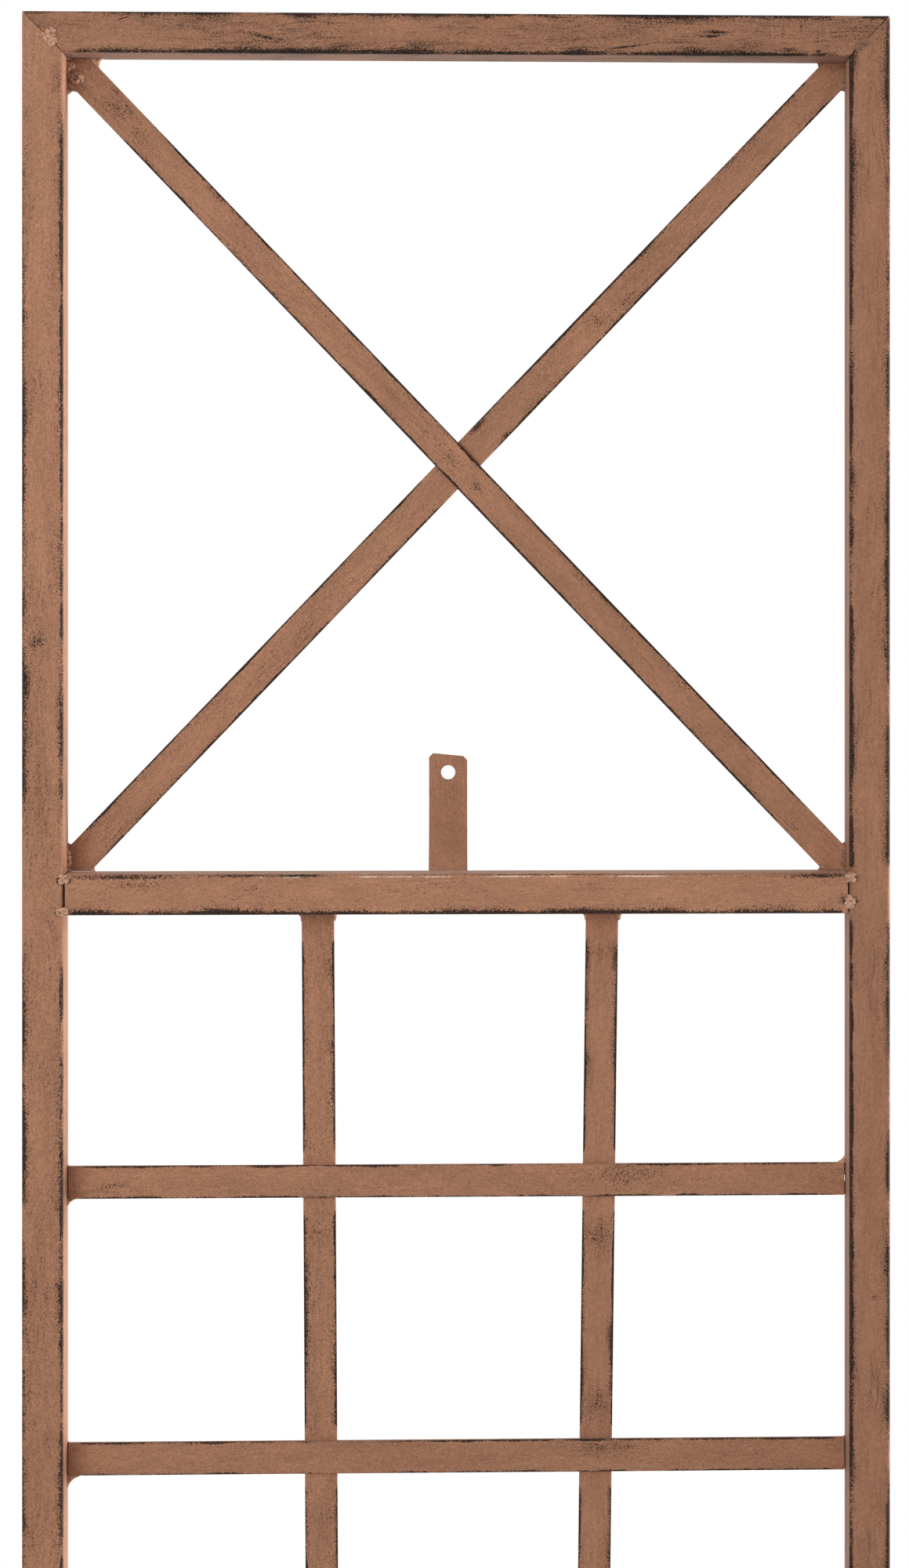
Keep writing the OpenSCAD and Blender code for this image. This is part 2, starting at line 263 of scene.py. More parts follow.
class Graph:
    """Adds nodes to a tree. Each input is a value or the output of another node."""

    def __init__(self, tree):
        self.tree = tree

    def node(self, kind, *values, **settings):
        made = self.tree.nodes.new(kind)
        for name, value in settings.items():
            setattr(made, name, value)
        for socket, value in zip(made.inputs, values):
            self.feed(socket, value)
        return made

    def add(self, kind, *values, out=0, **settings):
        return self.node(kind, *values, **settings).outputs[out]

    def feed(self, socket, value):
        if isinstance(value, bpy.types.NodeSocket):
            self.tree.links.new(value, socket)
        elif value is not None:
            socket.default_value = value

    def math(self, operation, a, b=None, c=None):
        return self.add("ShaderNodeMath", a, b, c, operation=operation)

    def product(self, first, *others):
        for other in others:
            first = self.math("MULTIPLY", first, other)
        return first

    def vector(self, operation, a, b=None, c=None):
        return self.add("ShaderNodeVectorMath", a, b, c, operation=operation)

    def scaled(self, vector, factor):
        return self.add("ShaderNodeVectorMath", vector, None, None, factor, operation="SCALE")

    def remap(self, value, spread, to):
        return self.add("ShaderNodeMapRange", value, *spread, *to)

    def step(self, value, start, end):
        return self.add("ShaderNodeMapRange", value, start, end, 0.0, 1.0, interpolation_type="SMOOTHSTEP")

    def blend(self, factor, a, b):
        return self.add("ShaderNodeMix", factor, None, a, b, data_type="FLOAT")

    def tint(self, factor, a, b):
        empty = [None] * 5
        return self.add("ShaderNodeMix", factor, *empty, a, (*b, 1.0), out=MIXED_COLOUR, data_type="RGBA")

    def noise(self, place, pattern, out=0):
        cells = [1 / size for size in pattern.size]
        moved = self.vector("MULTIPLY_ADD", place, cells, [pattern.shift] * 3)
        return self.add("ShaderNodeTexNoise", moved, None, 1.0, pattern.detail, pattern.roughness, out=out)

    def pattern(self, place, pattern):
        return self.remap(self.noise(place, pattern), pattern.spread, pattern.to)


def new_group(name, inputs, outputs):
    """An empty node group with its sockets, and the graph and sockets to fill it."""
    group = bpy.data.node_groups.new(name, "ShaderNodeTree")
    for direction, sockets in (("INPUT", inputs), ("OUTPUT", outputs)):
        for label, kind in sockets:
            group.interface.new_socket(name=label, in_out=direction, socket_type=kind)
    given = group.nodes.new("NodeGroupInput").outputs
    wanted = group.nodes.new("NodeGroupOutput").inputs
    return group, Graph(group), given, wanted


def new_material(name):
    """An empty material, its graph and the place of each point on it."""
    material = bpy.data.materials.new(name)
    material.use_nodes = True
    material.node_tree.nodes.clear()
    g = Graph(material.node_tree)
    return material, g, g.add("ShaderNodeTexCoord", out="Object")


# Surface of the paint: constant inputs of the shader, and the strength and depth of the relief
SURFACE = {"IOR": 1.5, "Specular IOR Level": 0.08, "Sheen Roughness": 0.4}
RELIEF = 0.6
PAINT_DEPTH = 0.06 * MM
BEAD_DEPTH = 0.25 * MM


def finish_shader(g, colour, roughness, sheen, height, depth):
    """Ends a material with the shader and its relief."""
    bump = g.node("ShaderNodeBump", RELIEF, depth)
    g.feed(bump.inputs["Height"], height)
    shader = g.node("ShaderNodeBsdfPrincipled")
    g.feed(shader.inputs["Base Color"], colour)
    g.feed(shader.inputs["Roughness"], roughness)
    g.feed(shader.inputs["Normal"], bump.outputs[0])
    shader.inputs["Sheen Weight"].default_value = sheen
    for label, value in SURFACE.items():
        shader.inputs[label].default_value = value
    g.node("ShaderNodeOutputMaterial", shader.outputs[0])


# Paint of the bars

WEAR_INPUTS = ("Half depth", "Half width", "Corner", "Line low", "Line high", "Fringe low", "Fringe high",
               "Clear", "Streaks", "Tone", "Smudge", "Pale", "Seed")
# Steps that give each bar, and each of the four edges of a bar, noise of its own
SEED_STEP = (31.7, 57.3, 43.1)
FRONT_BACK_STEP, LOW_HIGH_STEP = 90.0, 50.0
# From just before the middle of a bar to just behind it, and the share of the front's rub that its back has
FRONT_TO_BACK = (-1.0, 1.0)
BACK_WEAR = 0.6

# Black band over an edge, which fades out over a stretch of the surface
BAND_WIDTH = Pattern((22, 1, 1), 17.0, 4.0, 0.6, spread=(0.3, 0.7), to=(-0.5, 0.9))
BAND_HOLD = Pattern((55, 1, 1), 2.0, spread=(0.36, 0.5), to=(0.35, 1.0))
BAND_BREAKS = Pattern((4, 1, 1), 9.0, spread=(0.3, 0.5), to=(0.7, 1.0))
BAND_FADE = (-0.5, 1.3)
# Grainy fringe that reaches in from the band
FRINGE_PATCHES = Pattern((48, 1, 1), 4.0, 3.0, spread=(0.36, 0.64), to=(0.25, 1.0))
FRINGE_REACH = Pattern((24, 1, 1), 13.0, 3.0, spread=(0.3, 0.7), to=(1.1, 3.6))
FRINGE_STRENGTH = 1.15

# Wavy streaks of specks over the faces: how far they bend, how dense they are and at most
BEND = Pattern((60, 30, 34), detail=1.0)
BEND_REACH = (0.0, 8.0, 16.0)
STREAKS = Pattern((20, 3, 1.2), 3.0, 1.0, spread=(0.52, 0.7))
DUST_CLOUDS = Pattern((55, 25, 16), 5.0, 3.0, spread=(0.36, 0.64), to=(0.2, 1.1))
DUST_IN_STREAKS, DUST_BETWEEN, MOST_DUST = 0.38, 0.25, 0.46
DOTS = Pattern((0.75, 0.45, 0.45), 27.0, 0.0, spread=(0.2, 0.8))
DOT_EDGE = (-0.05, 0.07)

# Grain of the dry brush: strokes along the bar, a few slanted ones, and flecks of paint left in the black
STROKES = Pattern((0.9, 0.45, 0.45), 0.0, 1.0, 0.6)
HATCH = Pattern((5.0, 0.7, 0.7), 7.0, 1.0, spread=(0.2, 0.72))
HATCH_SLANT = math.radians(58)
HATCH_RARE = 0.16
DUST_IN_BLACK = 0.5
BLACK_EDGE = (-0.03, 0.08)
FLECK_EDGE = (0.55, 0.68)
FLECK_SHARE = -0.6

# Pale scuffs beside the rub: where they start and end from an edge, and how they fade out along the bar
SCUFFS = Pattern((26, 1, 1), 23.0, 3.0, spread=(0.4, 0.6))
SCUFF_GRAIN = Pattern((1.6, 0.5, 0.5), 31.0, 3.0, 0.65, spread=(0.3, 0.7))
SCUFF_START, SCUFF_END = (0.1, 0.5), (1.6, 0.7)
SCUFF_EDGE = (0.0, 0.2)
SCUFF_FADE = 40.0

# Shades of the paint, broad to fine, and of what lies on it
CLOUD = Pattern((70, 20, 16), 11.0, 4.0, 0.6, to=(0.86, 1.14))
BRUSH = Pattern((13, 2.0, 1.1), 13.0, 3.0, to=(0.89, 1.11))
MOTTLE = Pattern((1.9, 1.3, 1.3), 37.0, to=(0.86, 1.14))
FINE = Pattern((0.5, 0.42, 0.42), 19.0, 2.0, 0.7, to=(0.55, 1.45))
STAIN_OF_DUST, STAIN_OF_SPECKS, MOST_STAIN = 0.2, 0.7, 0.85
MOST_BLACK = 0.97
MATT_RANGE = 0.06
BRUSH_RELIEF, BLACK_RELIEF = 1.5, 0.5


def edge_distance(g, given, through, across):
    """Distance from the middle of the nearest rounded edge, over the surface."""
    in_depth = g.math("SUBTRACT", given["Half depth"], g.math("ABSOLUTE", through))
    in_width = g.math("SUBTRACT", given["Half width"], g.math("ABSOLUTE", across))
    inset = g.math("SUBTRACT", g.math("ADD", in_depth, in_width), given["Corner"])
    return g.math("MAXIMUM", inset, 0.0)


def edge_line(g, axes, seeds):
    """A place along the nearest edge, so that each of the four edges has its own line of noise."""
    along, through, across = axes
    front_back = g.product(g.math("SIGN", through), FRONT_BACK_STEP)
    low_high = g.product(g.math("SIGN", across), LOW_HIGH_STEP)
    return g.vector("ADD", g.add("ShaderNodeCombineXYZ", along, front_back, low_high), seeds)


def edge_rub(g, given, axes, edge, inset):
    """The band over an edge and the fringe that reaches in from it."""
    along, through, across = axes
    high = g.math("GREATER_THAN", across, 0.0)
    from_band = g.math("SUBTRACT", inset, g.pattern(edge, BAND_WIDTH))
    band = g.math("SUBTRACT", 1.0, g.step(from_band, *BAND_FADE))
    band = g.product(band, g.pattern(edge, BAND_HOLD), g.pattern(edge, BAND_BREAKS))
    band = g.product(band, g.blend(high, given["Line low"], given["Line high"]))
    reaches = g.math("DIVIDE", inset, g.pattern(edge, FRINGE_REACH))
    fringe = g.math("EXPONENT", g.product(reaches, -1.0))
    fringe = g.product(fringe, g.pattern(edge, FRINGE_PATCHES), FRINGE_STRENGTH)
    fringe = g.product(fringe, g.blend(high, given["Fringe low"], given["Fringe high"]))
    worn = g.product(given["Clear"], g.remap(through, FRONT_TO_BACK, (1.0, BACK_WEAR)))
    return g.product(worn, g.math("MAXIMUM", band, fringe))


def dust(g, varied, bent, streaks):
    """How densely the specks lie on the faces."""
    density = g.math("MULTIPLY_ADD", g.pattern(bent, STREAKS), DUST_IN_STREAKS, DUST_BETWEEN)
    return g.math("MINIMUM", g.product(g.pattern(varied, DUST_CLOUDS), streaks, density), MOST_DUST)


def brushed_black(g, varied, fine, rubbed, dusting):
    """Black where the rub is stronger than the grain of the dry brush."""
    slanted = g.add("ShaderNodeVectorRotate", varied, None, None, HATCH_SLANT, rotation_type="Y_AXIS")
    hatch = g.math("ADD", g.pattern(slanted, HATCH), HATCH_RARE)
    grain = g.math("MINIMUM", g.pattern(varied, STROKES), hatch)
    strength = g.math("ADD", rubbed, g.product(dusting, DUST_IN_BLACK))
    black = g.step(g.math("SUBTRACT", strength, grain), *BLACK_EDGE)
    return g.product(black, g.math("MULTIPLY_ADD", g.step(fine, *FLECK_EDGE), FLECK_SHARE, 1.0))


def pale_scuffs(g, varied, edge, inset, stretch):
    """Undercoat that shows in a grainy line beside the rub."""
    beside = g.product(g.step(inset, *SCUFF_START), g.step(inset, *SCUFF_END))
    strength = g.product(stretch, g.pattern(edge, SCUFFS), beside)
    return g.step(g.math("SUBTRACT", strength, g.pattern(varied, SCUFF_GRAIN)), *SCUFF_EDGE)


def rubbed_paint_group(paint):
    """Paint on a bar, in millimetres along, through and across it, with black rubbed along its edges."""
    name = "rubbed paint"
    if name in bpy.data.node_groups:
        return bpy.data.node_groups[name]
    inputs = [("Place", VECTOR)] + [(label, VALUE) for label in WEAR_INPUTS]
    outputs = [("Colour", COLOUR), ("Roughness", VALUE), ("Height", VALUE)]
    group, g, given, wanted = new_group(name, inputs, outputs)
    axes = g.node("ShaderNodeSeparateXYZ", given["Place"]).outputs
    seeds = g.scaled(SEED_STEP, given["Seed"])
    varied = g.vector("ADD", given["Place"], seeds)
    bent = g.vector("MULTIPLY_ADD", g.noise(varied, BEND, out="Color"), BEND_REACH, varied)
    inset = edge_distance(g, given, axes[1], axes[2])
    edge = edge_line(g, axes, seeds)
    fine = g.noise(varied, FINE)

    # What lies on the paint
    dusting = dust(g, varied, bent, given["Streaks"])
    specks = g.step(g.math("SUBTRACT", dusting, g.pattern(varied, DOTS)), *DOT_EDGE)
    rubbed = g.math("MAXIMUM", edge_rub(g, given, axes, edge, inset), given["Smudge"])
    black = brushed_black(g, varied, fine, rubbed, dusting)
    pale = pale_scuffs(g, varied, edge, inset, given["Pale"])

    # Cloudy and grainy paint, darkened by the dust, then the pale and the black
    brush = g.product(g.pattern(bent, BRUSH), g.pattern(varied, MOTTLE))
    cloud = g.product(g.pattern(varied, CLOUD), given["Tone"])
    value = g.product(cloud, brush, g.remap(fine, FINE.spread, FINE.to))
    stain = g.math("MULTIPLY_ADD", dusting, STAIN_OF_DUST, g.product(specks, STAIN_OF_SPECKS))
    colour = g.tint(g.math("MINIMUM", stain, MOST_STAIN), g.scaled((*paint.paint,), value), paint.stain)
    colour = g.tint(pale, colour, paint.pale)
    g.feed(wanted["Colour"], g.tint(g.product(black, MOST_BLACK), colour, paint.rub))

    matt = g.remap(fine, FINE.spread, (paint.roughness - MATT_RANGE, paint.roughness + MATT_RANGE))
    g.feed(wanted["Roughness"], g.blend(black, matt, paint.rub_roughness))
    relief = g.math("ADD", fine, g.product(brush, BRUSH_RELIEF))
    g.feed(wanted["Height"], g.math("SUBTRACT", relief, g.product(black, BLACK_RELIEF)))
    return group


def clear_of_joints(g, along, bar):
    """How far the rub has grown again, from 0 at a joint to 1 away from it."""
    nearest = None
    for at in bar.joints:
        gap = g.math("ABSOLUTE", g.math("SUBTRACT", along, at / MM))
        nearest = gap if nearest is None else g.math("MINIMUM", nearest, gap)
    return g.step(nearest, bar.bare, bar.bare + bar.grow)


def smudge_field(g, axes, smudges):
    """Soft patches of rub on the front of a bar."""
    along, through, across = axes
    most = 0.0
    for mark in smudges:
        step = g.math("SUBTRACT", along, mark.along)
        rise = g.math("MULTIPLY_ADD", step, -mark.slant, g.math("SUBTRACT", across, mark.across))
        far = g.math("POWER", g.math("DIVIDE", step, mark.length), 2.0)
        off = g.math("POWER", g.math("DIVIDE", rise, mark.width), 2.0)
        field = g.math("EXPONENT", g.product(g.math("ADD", far, off), -1.0))
        most = g.math("MAXIMUM", most, g.product(field, mark.strength))
    return g.product(most, g.math("LESS_THAN", through, 0.0))


def scuffed_stretch(g, axes, pale):
    """Where the pale undercoat may show: along a stretch of a bar's upper or right edge, on its front."""
    along, through, across = axes
    low, high = pale
    stretch = g.product(g.step(along, low, low + SCUFF_FADE), g.step(along, high, high - SCUFF_FADE))
    return g.product(stretch, g.math("GREATER_THAN", across, 0.0), g.math("LESS_THAN", through, 0.0))


def bar_paint(bar, seed, paint):
    """Material for one bar, laid out along that bar."""
    material, g, where = new_material(bar.node + "_paint")
    place = g.add("ShaderNodeMapping", where, middle(bar.node), (0.0, bar.turn, 0.0), (MM, MM, MM),
                  vector_type="TEXTURE")
    axes = g.node("ShaderNodeSeparateXYZ", place).outputs
    given = {
        "Place": place,
        "Half depth": bar.deep / MM / 2,
        "Half width": bar.wide / MM / 2,
        "Corner": bar.radius * ARC_MIDDLE,
        "Line low": bar.line[0],
        "Line high": bar.line[1],
        "Fringe low": bar.fringe[0],
        "Fringe high": bar.fringe[1],
        "Clear": clear_of_joints(g, axes[0], bar) if bar.joints else 1.0,
        "Streaks": bar.streaks,
        "Tone": bar.tone,
        "Smudge": smudge_field(g, axes, bar.smudges) if bar.smudges else 0.0,
        "Pale": scuffed_stretch(g, axes, bar.pale) if bar.pale else 0.0,
        "Seed": seed,
    }
    wear = g.node("ShaderNodeGroup", node_tree=rubbed_paint_group(paint))
    for label, value in given.items():
        g.feed(wear.inputs[label], value)
    made = wear.outputs
    finish_shader(g, made["Colour"], made["Roughness"], paint.sheen, made["Height"], PAINT_DEPTH)
    return material


def paint_bars(bars, paint, first_seed):
    """Gives each bar its own paint."""
    for count, bar in enumerate(bars):
        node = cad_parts[bar.node]
        node.data.materials.clear()
        node.data.materials.append(bar_paint(bar, first_seed + count, paint))


# Weld beads

# Share of the full height of the lumps that each kind of bead has
CORNER_LUMPS = 0.7
FLAT_TACK_LUMPS = 0.3
RAIL_LUMPS = 0.7
BRACE_LUMPS = 0.4
LATTICE_LUMPS = 0.3
TAB_LUMPS = 0.6
# Sizes of the lumps and of the ripples on them in millimetres, and the ripples' share of the height
LUMP_SIZE, RIPPLE_SIZE = 1.7, 0.8
RIPPLE_SHARE = 0.6
# Step in the noise from one bead's lumps to the next bead's
LUMP_STEP = 7.3
# How often a skin is softened, and how finely a drop is divided
SOFTENINGS = 2
DROP_FINENESS = 3
# Share of a drop's least radius that its crater takes up
CRATER_REACH = 0.65


def bars_surface():
    """The surface of all the bars, to measure from."""
    whole = bmesh.new()
    for node in BARS:
        whole.from_mesh(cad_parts[node].data)
    tree = BVHTree.FromBMesh(whole)
    whole.free()
    return tree


def melted(node, drops, grain):
    """A node's beads and the added drops, run together into one skin."""
    shape = bmesh.new()
    shape.from_mesh(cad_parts[node].data)
    for drop in drops:
        place = Matrix.LocRotScale(drop.at, None, Vector(drop.radii) * MM)
        bmesh.ops.create_icosphere(shape, subdivisions=DROP_FINENESS, radius=1.0, matrix=place)
    mesh = bpy.data.meshes.new(node)
    shape.to_mesh(mesh)
    shape.free()
    piece = bpy.data.objects.new(node + "_beads", mesh)
    bpy.context.scene.collection.objects.link(piece)
    remesh = piece.modifiers.new("run together", "REMESH")
    remesh.mode = "VOXEL"
    remesh.voxel_size = grain
    soften = piece.modifiers.new("soften", "SMOOTH")
    soften.iterations = SOFTENINGS
    skin = bpy.data.meshes.new_from_object(piece.evaluated_get(bpy.context.evaluated_depsgraph_get()))
    piece.modifiers.clear()
    piece.data = skin
    bpy.data.meshes.remove(mesh)
    return piece


def crater_depth(drop, point):
    """Depth in millimetres of the crater in the front of a drop, at a point of its skin."""
    if not drop.crater or point.y > drop.at.y:
        return 0.0
    reach = min(drop.radii) * MM * CRATER_REACH
    away = math.hypot(point.x - drop.at.x, point.z - drop.at.z) / reach
    return drop.crater * max(0.0, 1 - away * away)


def pressed(y):
    """Keeps what stands before the tubes' fronts within the height of the plain tacks."""
    rise = FRONT_Y - y
    if rise <= 0:
        return y
    most = FRONT_Y - cad_box[0].y
    return FRONT_Y - most * (1 - math.exp(-rise / most))


def roughen(mesh, drops, welds, lumpy, seed):
    """Swells and lumps a skin, presses the craters into it, and stores the height of its lumps and craters,
    from which the paint lays painted shade in the hollows and painted highlight on the tops.
    """
    shift = Vector((seed, -seed, seed)) * LUMP_STEP
    lump = mesh.attributes.new("lump", "FLOAT", "POINT")
    normals = [vert.normal.copy() for vert in mesh.vertices]
    for vert, normal in zip(mesh.vertices, normals):
        place = vert.co / MM + shift
        height = noise.noise(place / LUMP_SIZE) + RIPPLE_SHARE * noise.noise(place / RIPPLE_SIZE)
        pit = max((crater_depth(drop, vert.co) for drop in drops), default=0.0)
        vert.co += normal * (welds.swell + welds.lump * lumpy * height)
        vert.co.y = pressed(vert.co.y + pit * MM)
        lump.data[vert.index].value = height - pit
    mesh.shade_smooth()


def mark_seat(mesh, bars, lumpy):
    """Stores how far each point lies from the bars, for the dark rim of the beads, which is partly painted
    shade and partly black rub settled where a bead meets a bar, wide on lumpy ones.
    """
    seat = mesh.attributes.new("seat", "FLOAT", "POINT")
    for vert in mesh.vertices:
        distance = bars.find_nearest(vert.co)[-1]
        seat.data[vert.index].value = distance / MM / lumpy


# Paint of the beads

BEAD_BROAD = Pattern((2.5, 2.5, 2.5), spread=(0.35, 0.65), to=(0.05, 0.75))
BEAD_FINE = Pattern((0.8, 0.8, 0.8), 5.0, 2.0, 0.7, to=(0.75, 1.25))
# Dark rim and pit shade: where they start and end, how the grain breaks them, and how dark they are. The rim
# is partly painted shade and partly black rub settled where a bead meets a bar; the pit shade is painted
# shade in the deepest hollows and craters
RIM_EDGE, RIM_GRAIN, RIM_DARK = (-0.05, 0.2), (0.25, 0.42), 0.85
PIT_EDGE, PIT_GRAIN, PIT_DARK = (-0.5, -0.9), (0.62, 0.42), 0.8
# Painted shade in the hollows and painted highlight on the tops of the lumps: the lumps' heights, and the
# brightness given to them
LUMP_RANGE, PAINTED_LUMP_LIGHT = (-0.5, 0.5), (0.55, 1.32)
BEAD_GLOSS = 0.12
# Paint of the beads that are no paler than the bars: denser streaks of dust and a darker tone, which on the
# beads at the braces' ends is painted shade of the corners they sit in
EVEN_STREAKS, EVEN_TONE, EVEN_SEED = 1.3, 0.78, 41


def bead_paint(paint):
    """Paint that runs over the beads, with painted shade in their deepest hollows and craters, a dark rim of
    painted shade and black rub where a bead meets a bar, and painted shade and highlight from the height of
    the lumps.
    """
    name = "painted_beads"
    if name in bpy.data.materials:
        return bpy.data.materials[name]
    material, g, where = new_material(name)
    place = g.scaled(where, 1 / MM)
    seat = g.add("ShaderNodeAttribute", attribute_name="seat", out="Fac")
    lump = g.add("ShaderNodeAttribute", attribute_name="lump", out="Fac")
    broad = g.noise(place, BEAD_BROAD)
    fine = g.noise(place, BEAD_FINE)
    # Dark rim where a bead meets a bar: partly painted shade, partly black rub settled there
    rim = g.step(g.math("SUBTRACT", g.remap(broad, BEAD_BROAD.spread, BEAD_BROAD.to), seat), *RIM_EDGE)
    rim = g.product(rim, g.step(fine, *RIM_GRAIN), RIM_DARK)
    # Painted shade in the deepest hollows and craters of the beads
    pit_shade = g.product(g.step(lump, *PIT_EDGE), g.step(fine, *PIT_GRAIN), PIT_DARK)
    # Painted shade in the hollows and painted highlight on the tops, from the stored height of the lumps
    painted_lump_light = g.remap(lump, LUMP_RANGE, PAINTED_LUMP_LIGHT)
    value = g.product(g.remap(fine, BEAD_FINE.spread, BEAD_FINE.to), painted_lump_light)
    colour = g.tint(g.math("MAXIMUM", rim, pit_shade), g.scaled((*paint.weld,), value), paint.rub)
    roughness = g.remap(fine, BEAD_FINE.spread, (paint.roughness - BEAD_GLOSS, paint.roughness))
    finish_shader(g, colour, roughness, paint.sheen, g.math("ADD", fine, broad), BEAD_DEPTH)
    return material


def even_paint(node, paint):
    """Paint for beads that are no paler than the bars, and darker; on the beads at the braces' ends the
    darkening is painted shade of the corners they sit in.
    """
    return bar_paint(tube(node, LEVEL, streaks=EVEN_STREAKS, tone=EVEN_TONE), EVEN_SEED, paint)


def lay_welds(context, welds, lumpy, even=False):
    """Makes the rough beads that stand for each named node, with a share of the full height of the lumps."""
    settings, paint = context.scene.espalier_welds, context.scene.espalier_paint
    bars = bars_surface()
    for node, drops in welds.items():
        piece = melted(node, drops, settings.grain)
        roughen(piece.data, drops, settings, lumpy, len(bpy.data.meshes))
        mark_seat(piece.data, bars, lumpy)
        piece.data.materials.clear()
        piece.data.materials.append(even_paint(node, paint) if even else bead_paint(paint))
        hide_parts(node)
        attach(piece, "root")


# Stage

# The photograph's size and the point that the lens looks at, in its pixels
PHOTO_W, PHOTO_H = 1160, 2000
LENS_POINT = (678.0, 801.3)
SENSOR_W = 36
# Camera's place from the front middle of the frame, at the height of the middle rail's underside
CAMERA_STEP = Vector((-1.7, -1732.6, 174.7)) * MM
CAMERA_YAW = math.radians(-1.54)
# Points that the lamps light, each lamp's place from its point, and their sizes
AIM = Vector((CENTRE_X, FRONT_Y, MIDDLE_HIGH.z))
KEY_AIM = AIM + Vector((0.0, 0.0, 0.2))
KEY_STEP = Vector((-1.2, -2.1, 0.4))
KEY_SIZE = (1.4, 1.4)
KEY_SPREAD = math.radians(70)
SIDE_STEP = Vector((4.5, 0.6, -0.2))
FILL_STEP = Vector((-4.5, 0.6, -0.2))
SIDE_SIZE = (2.0, 2.4)
FLOOR_RADIUS = 1.2
FLOOR_SEGMENTS = 96
FLOOR_COLOUR = (0.75, 0.75, 0.75, 1.0)
FLOOR_ROUGHNESS = 0.9
WHITE = (1.0, 1.0, 1.0, 1.0)


def add_camera(lens):
    """The camera of the photograph, level, with its lens shifted."""
    data = bpy.data.cameras.new("camera")
    data.lens = lens
    data.sensor_width = SENSOR_W
    longest = max(PHOTO_W, PHOTO_H)
    data.shift_x = (PHOTO_W / 2 - LENS_POINT[0]) / longest
    data.shift_y = (LENS_POINT[1] - PHOTO_H / 2) / longest
    camera = bpy.data.objects.new("camera", data)
    camera.location = Vector((CENTRE_X, FRONT_Y, MIDDLE_LOW.z)) + CAMERA_STEP
    camera.rotation_euler = (UPRIGHT, 0.0, CAMERA_YAW)
    bpy.context.scene.collection.objects.link(camera)
    bpy.context.scene.camera = camera


def add_lamp(name, aim, step, power, size, spread=math.pi):
    """A soft lamp that stands a step from the point it lights."""
    data = bpy.data.lights.new(name, "AREA")
    data.energy = power
    data.shape = "RECTANGLE"
    data.size, data.size_y = size
    data.spread = spread
    lamp = bpy.data.objects.new(name, data)
    place = aim + step
    lamp.location = place
    lamp.rotation_euler = (aim - place).to_track_quat("-Z", "Y").to_euler()
    bpy.context.scene.collection.objects.link(lamp)


def add_floor():
    """A pale round floor under the frame."""
    mesh = bpy.data.meshes.new("floor")
    outline = bmesh.new()
    bmesh.ops.create_circle(outline, cap_ends=True, segments=FLOOR_SEGMENTS, radius=FLOOR_RADIUS)
    outline.to_mesh(mesh)
    outline.free()
    floor = bpy.data.objects.new("floor", mesh)
    floor.location = (CENTRE_X, FRONT_Y, cad_box[0].z)
    bpy.context.scene.collection.objects.link(floor)
    material = bpy.data.materials.new("pale_floor")
    material.use_nodes = True
    shader = material.node_tree.nodes["Principled BSDF"]
    shader.inputs["Base Color"].default_value = FLOOR_COLOUR
    shader.inputs["Roughness"].default_value = FLOOR_ROUGHNESS
    mesh.materials.append(material)


def set_surround(ambient):
    """White where it is seen or mirrored, and soft light elsewhere."""
    world = bpy.context.scene.world or bpy.data.worlds.new("surround")
    bpy.context.scene.world = world
    world.use_nodes = True
    world.node_tree.nodes.clear()
    g = Graph(world.node_tree)
    path = g.node("ShaderNodeLightPath").outputs
    seen = g.math("MAXIMUM", path["Is Camera Ray"], path["Is Glossy Ray"])
    seen = g.math("MAXIMUM", seen, path["Is Transmission Ray"])
    light = g.add("ShaderNodeBackground", WHITE, ambient)
    white = g.add("ShaderNodeBackground", WHITE, 1.0)
    g.node("ShaderNodeOutputWorld", g.add("ShaderNodeMixShader", seen, light, white))


# Where the photograph shows single marks: along and across the bar, length, width, strength and slant

LEFT_TACKS = tack_places("left_stile")
LEFT_STILE_MARKS = (
    Smudge(-407, -3.5, 5, 7, 0.45),
    Smudge(LEFT_TACKS[0] + 3.6, 10.5, 2.6, 3.4, 0.62),
    Smudge(LEFT_TACKS[1] - 2.0, 10.0, 3.2, 3.8, 0.66),
)
LEFT_STILE_PALE = (-765, -703)
RIGHT_TACKS = tack_places("right_stile")
RIGHT_STILE_MARKS = (
    Smudge(-5, 3.0, 3, 4, 0.4),
    Smudge(RIGHT_TACKS[0] + 3.0, -9.6, 4.0, 3.6, 0.55),
    Smudge(RIGHT_TACKS[1] - 8.0, -9.6, 3.6, 3.8, 0.6),
)
TOP_RAIL_MARKS = (
    Smudge(158, 1.8, 7, 1.0, 0.8),
    Smudge(156, -0.9, 6, 0.9, 0.75),
    Smudge(-119, -2.5, 17, 1.7, 0.5, -0.25),
    Smudge(-204, 8.0, 5, 0.6, 0.8, 0.26),
    Smudge(103, -7.6, 16, 0.8, 0.7, 0.12),
    Smudge(210, 5.0, 0.9, 4.5, 0.45),
    Smudge(220.3, -3.0, 0.8, 8, 0.42),
    Smudge(220.5, -9.8, 1.6, 1.5, 0.8),
    Smudge(199, 3.0, 1.2, 7, 0.3),
    Smudge(191, -1.0, 0.8, 8, 0.3),
    Smudge(204, -9.0, 9, 1.8, 0.5),
)
MIDDLE_RAIL_MARKS = (
    Smudge(-205, 10.8, 42, 1.9, 0.66),
    Smudge(-130, 11.4, 40, 1.1, 0.6),
    Smudge(222, 10.8, 24, 1.6, 0.7),
    Smudge(-195, 6.0, 26, 4, 0.34),
    Smudge(-120, 0.0, 22, 5, 0.16, -0.1),
    Smudge(60, 11.8, 120, 0.5, 0.5),
    Smudge(-97, 11.4, 22, 1.1, 0.72),
    Smudge(-237, 9.0, 4.5, 2.6, 0.62),
    Smudge(-238, -10.2, 4.0, 3.0, 0.66),
    Smudge(237, -4.0, 3.6, 3.8, 0.62),
)
MIDDLE_RAIL_PALE = (-150, 190)
